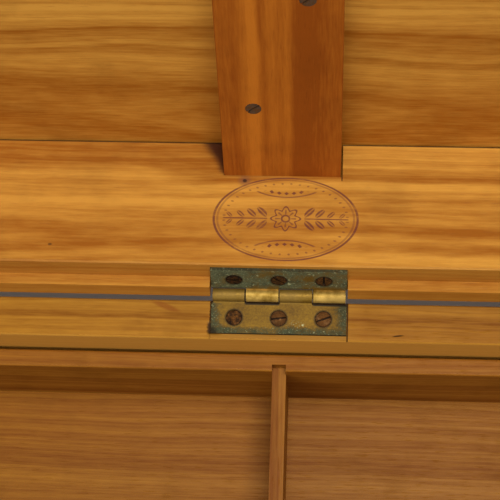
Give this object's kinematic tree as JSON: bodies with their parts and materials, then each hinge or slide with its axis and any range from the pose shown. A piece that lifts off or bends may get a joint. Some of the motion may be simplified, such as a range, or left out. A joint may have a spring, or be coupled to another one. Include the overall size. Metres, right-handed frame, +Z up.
{
  "type": "campaign trunk",
  "caption": "Brass-bound camphor wood campaign trunk with hinged lid on butt hinges, stays, lift-out tray, box lock with key and bail handles",
  "frame": {"origin": "centre of the footprint on the floor, at the middle of the middle skid's underside", "axes": "+X to the right end, +Y to the back where the hinges are, +Z up"},
  "size_m": [1.056, 0.813, 0.8861],
  "materials": {
    "camphor_lid": "waxed golden camphor wood",
    "camphor_body": "waxed camphor wood, darker inside",
    "batten_wood": "reddish brown heartwood",
    "skid_wood": "rubbed hardwood",
    "tray_wood": "planed camphor wood",
    "hinge_brass": "tarnished brass with verdigris",
    "hinge_screw_brass": "dark tarnished screw heads",
    "trim_brass": "dulled brass",
    "iron_screw": "rusted screw heads",
    "lock_steel": "worn steel"
  },
  "bodies": {
    "chest": {"back_wall": "camphor_body", "body_brass_pins": "trim_brass", "body_corner_brass": "trim_brass", "body_plate_screws": "trim_brass", "bottom_board_back": "camphor_body", "bottom_board_front": "camphor_body", "escutcheon": "trim_brass", "front_wall": "camphor_body", "handle_plate_left": "trim_brass", "handle_plate_right": "trim_brass", "handle_screws": "trim_brass", "hinge_centre_lower_leaf": "hinge_brass", "hinge_left_lower_leaf": "hinge_brass", "hinge_pins": "hinge_brass", "hinge_right_lower_leaf": "hinge_brass", "left_wall": "camphor_body", "lock_case": "trim_brass", "lower_hinge_screws": "hinge_screw_brass", "right_wall": "camphor_body", "skid_left": "skid_wood", "skid_middle": "skid_wood", "skid_right": "skid_wood", "skid_screws": "iron_screw", "stay_stud_left": "trim_brass", "stay_stud_right": "trim_brass", "tray_runner_back": "camphor_body", "tray_runner_front": "camphor_body"},
    "lid": {"batten_centre": "batten_wood", "batten_left": "batten_wood", "batten_right": "batten_wood", "batten_screws": "iron_screw", "hinge_centre_upper_leaf": "hinge_brass", "hinge_left_upper_leaf": "hinge_brass", "hinge_right_upper_leaf": "hinge_brass", "lid_back_rail": "camphor_lid", "lid_board_back": "camphor_lid", "lid_board_front": "camphor_lid", "lid_board_middle": "camphor_lid", "lid_brass_pins": "trim_brass", "lid_corner_brass": "trim_brass", "lid_front_rail": "camphor_lid", "lid_left_rail": "camphor_lid", "lid_plate_screws": "trim_brass", "lid_right_rail": "camphor_lid", "link_plate": "trim_brass", "stay_pivot_left": "trim_brass", "stay_pivot_right": "trim_brass", "upper_hinge_screws": "hinge_screw_brass"},
    "stay_arm_left": {"stay_arm_left": "trim_brass"},
    "stay_arm_right": {"stay_arm_right": "trim_brass"},
    "tray": {"tray_back": "tray_wood", "tray_bottom": "tray_wood", "tray_divider": "tray_wood", "tray_front": "tray_wood", "tray_left": "tray_wood", "tray_right": "tray_wood"},
    "bail_left": {"bail_left": "trim_brass"},
    "bail_right": {"bail_right": "trim_brass"},
    "key": {"key": "lock_steel"},
    "lock_bolt": {"lock_bolt": "lock_steel"}
  },
  "joints": [
    {"name": "lid_hinge", "type": "hinge", "parent": "chest", "child": "lid", "pos_m": [0, 0.2566, 0.39945], "axis": [-1, 0, 0], "range_deg": [-108, 0]},
    {"name": "stay_left_swing", "type": "hinge", "parent": "lid", "child": "stay_arm_left", "pos_m": [-0.4827, 0.3316, 0.52935], "axis": [-1, 0, 0], "range_deg": [0, 54]},
    {"name": "stay_right_swing", "type": "hinge", "parent": "lid", "child": "stay_arm_right", "pos_m": [0.4827, 0.3316, 0.52935], "axis": [-1, 0, 0], "range_deg": [0, 54]},
    {"name": "tray_lift", "type": "slide", "parent": "chest", "child": "tray", "axis": [0, 0, 1], "range_m": [0, 0.14]},
    {"name": "bail_left_swing", "type": "hinge", "parent": "chest", "child": "bail_left", "pos_m": [-0.52, 0, 0.232], "axis": [0, 1, 0], "range_deg": [0, 170]},
    {"name": "bail_right_swing", "type": "hinge", "parent": "chest", "child": "bail_right", "pos_m": [0.52, 0, 0.232], "axis": [0, -1, 0], "range_deg": [0, 170]},
    {"name": "key_turn", "type": "hinge", "parent": "chest", "child": "key", "pos_m": [0, -0.254, 0.366], "axis": [0, 1, 0], "range_deg": [0, 60]},
    {"name": "bolt_slide", "type": "slide", "parent": "chest", "child": "lock_bolt", "axis": [1, 0, 0], "range_m": [0, 0.008]}
  ],
  "couplings": [
    {"joint": "stay_left_swing", "follows": "lid_hinge", "ratio": -0.5},
    {"joint": "stay_right_swing", "follows": "lid_hinge", "ratio": -0.5},
    {"joint": "key_turn", "follows": "bolt_slide", "rad_per_m": 130.9}
  ]
}
